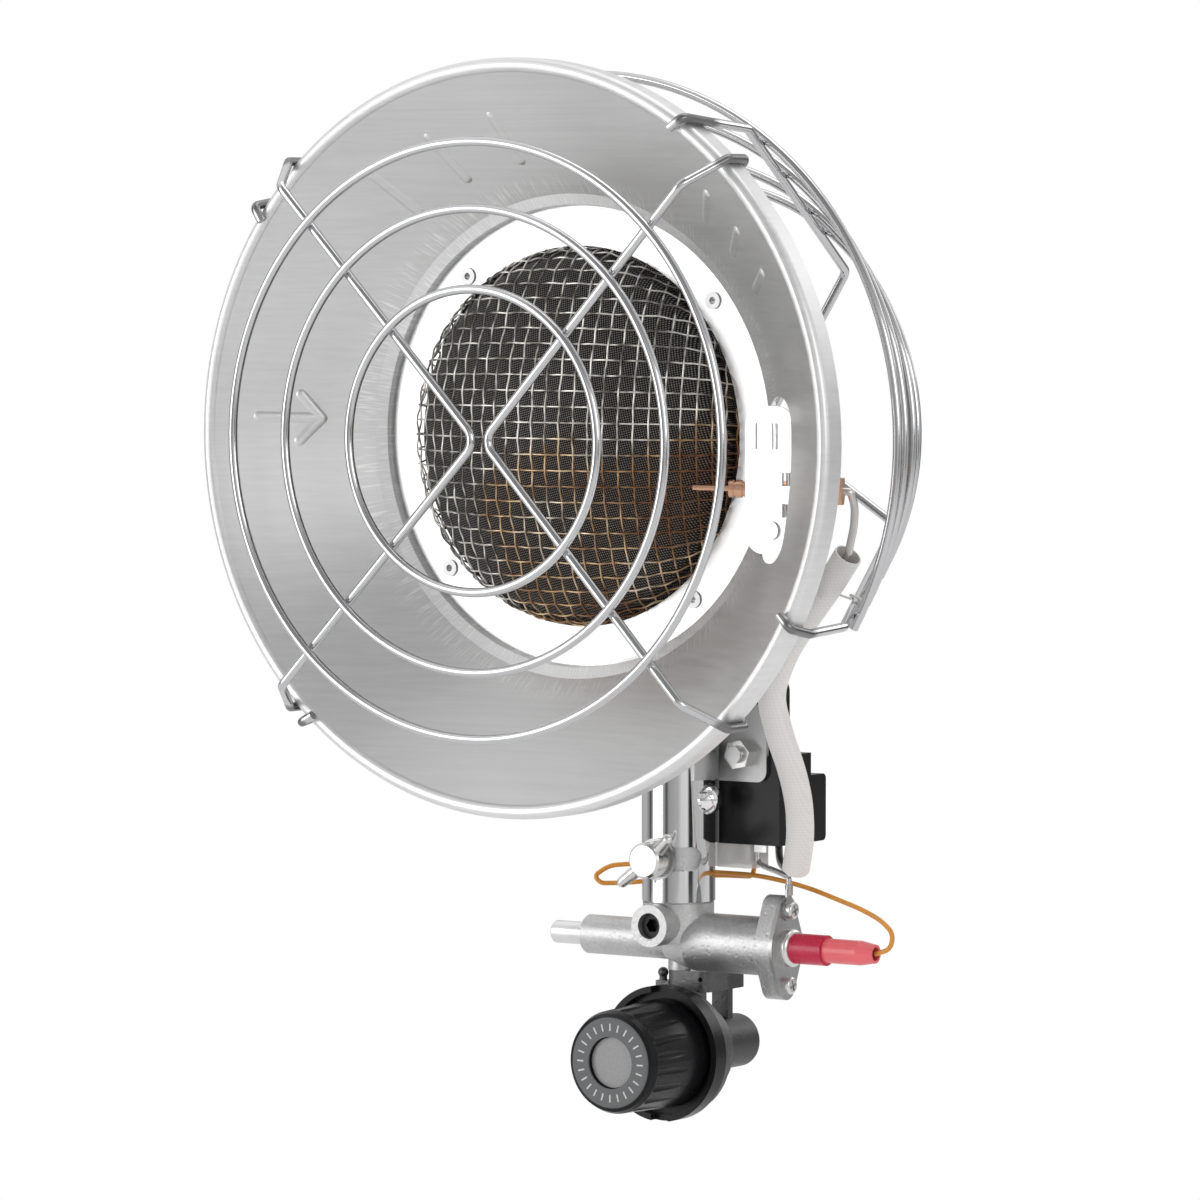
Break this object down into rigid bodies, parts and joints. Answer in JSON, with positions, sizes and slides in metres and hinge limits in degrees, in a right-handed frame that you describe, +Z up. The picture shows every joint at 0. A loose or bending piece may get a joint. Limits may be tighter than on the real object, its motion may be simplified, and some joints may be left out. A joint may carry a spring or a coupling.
{
  "type": "portable propane heater",
  "caption": "Portable radiant gas heater head: round reflector dish with domed burner and wire guards on a swivelling column, safety valve and knob regulator that screws onto a gas bottle.",
  "frame": {"origin": "centre of the gas inlet's mouth, on the regulator's axis", "axes": "+Z up along the column, the reflector faces -Y and the gas inlet faces +Y, so +X is to the right of someone facing the dish"},
  "size_m": [0.26, 0.178, 0.3747],
  "materials": {
    "dish_sheet": "bright rolled sheet, faint spinning lines",
    "bright_plate": "plain sheet, lightly brushed",
    "dark_screen": "heat darkened woven screen",
    "gasket": "matte fibre",
    "pan_sheet": "plated pressed steel",
    "chrome_wire": "bright chrome plated wire",
    "chrome_tube": "polished chrome plated tube",
    "plated_steel": "zinc plated",
    "cast_alloy": "die cast, lightly grained",
    "brass": "turned",
    "turned_alloy": "turned and tumbled",
    "magnet_metal": "ground",
    "red_nylon": "moulded nylon",
    "pink_sleeve": "soft translucent vinyl over red wire",
    "black_plastic": "moulded, satin to glossy",
    "black_housing": "moulded, glossy",
    "knob_face": "grey printed disc",
    "copper": "bare copper tube, dull",
    "probe_steel": "drawn, heat tinted",
    "white_sleeve": "braided glass fibre sleeve",
    "clear_vinyl": "soft translucent vinyl",
    "orange_lead": "smooth insulation",
    "grey_lead": "translucent insulation over wire"
  },
  "bodies": {
    "valve": {"valve_body": "cast_alloy", "gas_jet": "brass", "port_plug": "brass", "button_spring": "plated_steel", "magnet_unit": "magnet_metal", "retaining_plate": "pan_sheet", "plate_screws": "plated_steel", "magnet_collar": "plated_steel", "terminal_insulator": "red_nylon", "terminal_sleeve": "pink_sleeve", "ring_terminal": "pan_sheet", "regulator_body": "cast_alloy", "inlet_filter": "brass", "diaphragm": "gasket", "bonnet": "black_plastic", "regulator_spring": "plated_steel", "switch_lead": "orange_lead", "ground_lead": "grey_lead"},
    "washers": {"wing_washers": "plated_steel"},
    "wing": {"wing_screw": "plated_steel"},
    "button": {"safety_button": "turned_alloy"},
    "armature": {"armature_disc": "magnet_metal"},
    "knob": {"control_knob": "black_plastic", "knob_cap": "knob_face", "adjusting_spindle": "plated_steel"},
    "plate": {"spring_plate": "plated_steel"},
    "pendulum": {"tip_pendulum": "plated_steel"},
    "head": {"bracket_bolt": "plated_steel", "bracket_nut": "plated_steel", "bracket_post": "bright_plate", "burner_dome": "dark_screen", "burner_gasket": "gasket", "burner_pan": "pan_sheet", "burner_ring": "bright_plate", "burner_rivets": "bright_plate", "clear_boot": "clear_vinyl", "column_rivet": "chrome_tube", "column_tube": "chrome_tube", "guard_ring_inner": "chrome_wire", "guard_ring_middle": "chrome_wire", "guard_ring_outer": "chrome_wire", "guard_wire_left": "chrome_wire", "guard_wire_right": "chrome_wire", "inner_screen": "dark_screen", "lead_sleeve": "white_sleeve", "lead_tie": "plated_steel", "probe_nut": "plated_steel", "rear_bow_left": "chrome_wire", "rear_bow_right": "chrome_wire", "rear_hoop_1": "chrome_wire", "rear_hoop_2": "chrome_wire", "rear_hoop_3": "chrome_wire", "rear_hoop_4": "chrome_wire", "reflector_dish": "dish_sheet", "switch_bracket": "plated_steel", "switch_housing": "black_housing", "switch_terminals": "brass", "thermocouple_bracket": "pan_sheet", "thermocouple_lead": "copper", "thermocouple_probe": "probe_steel"}
  },
  "joints": [
    {"name": "swivel", "type": "hinge", "parent": "valve", "child": "head", "pos_m": [0, -0.0391, 0.0695], "axis": [0, 0, 1], "range_deg": [-54, 54], "deforming": ["switch_lead", "ground_lead"]},
    {"name": "wing_back", "type": "slide", "parent": "valve", "child": "washers", "axis": [0, -1, 0], "range_m": [0, 0.001]},
    {"name": "wing_turn", "type": "hinge", "parent": "washers", "child": "wing", "pos_m": [0, -0.06, 0.0695], "axis": [0, -1, 0], "range_deg": [0, 360]},
    {"name": "button_push", "type": "slide", "parent": "valve", "child": "button", "axis": [1, 0, 0], "range_m": [0, 0.004], "stiffness_N_per_m": 400, "springref_m": -0.002, "deforming": ["button_spring"]},
    {"name": "armature_slide", "type": "slide", "parent": "valve", "child": "armature", "axis": [1, 0, 0], "range_m": [0, 0.004]},
    {"name": "knob_turn", "type": "hinge", "parent": "valve", "child": "knob", "pos_m": [0, 0, 0], "axis": [0, 1, 0], "range_deg": [0, 270]},
    {"name": "plate_slide", "type": "slide", "parent": "valve", "child": "plate", "axis": [0, 1, 0], "range_m": [0, 0.0045], "deforming": ["regulator_spring"]},
    {"name": "pendulum_swing", "type": "hinge", "parent": "head", "child": "pendulum", "pos_m": [0.0228, -0.0135, 0.093], "axis": [1, 0, 0], "range_deg": [-25, 25]}
  ],
  "couplings": [
    {"joint": "wing_turn", "follows": "wing_back", "rad_per_m": 6283.2},
    {"joint": "armature_slide", "follows": "button_push", "ratio": 1},
    {"joint": "plate_slide", "follows": "knob_turn", "m_per_rad": 0.00095493}
  ]
}
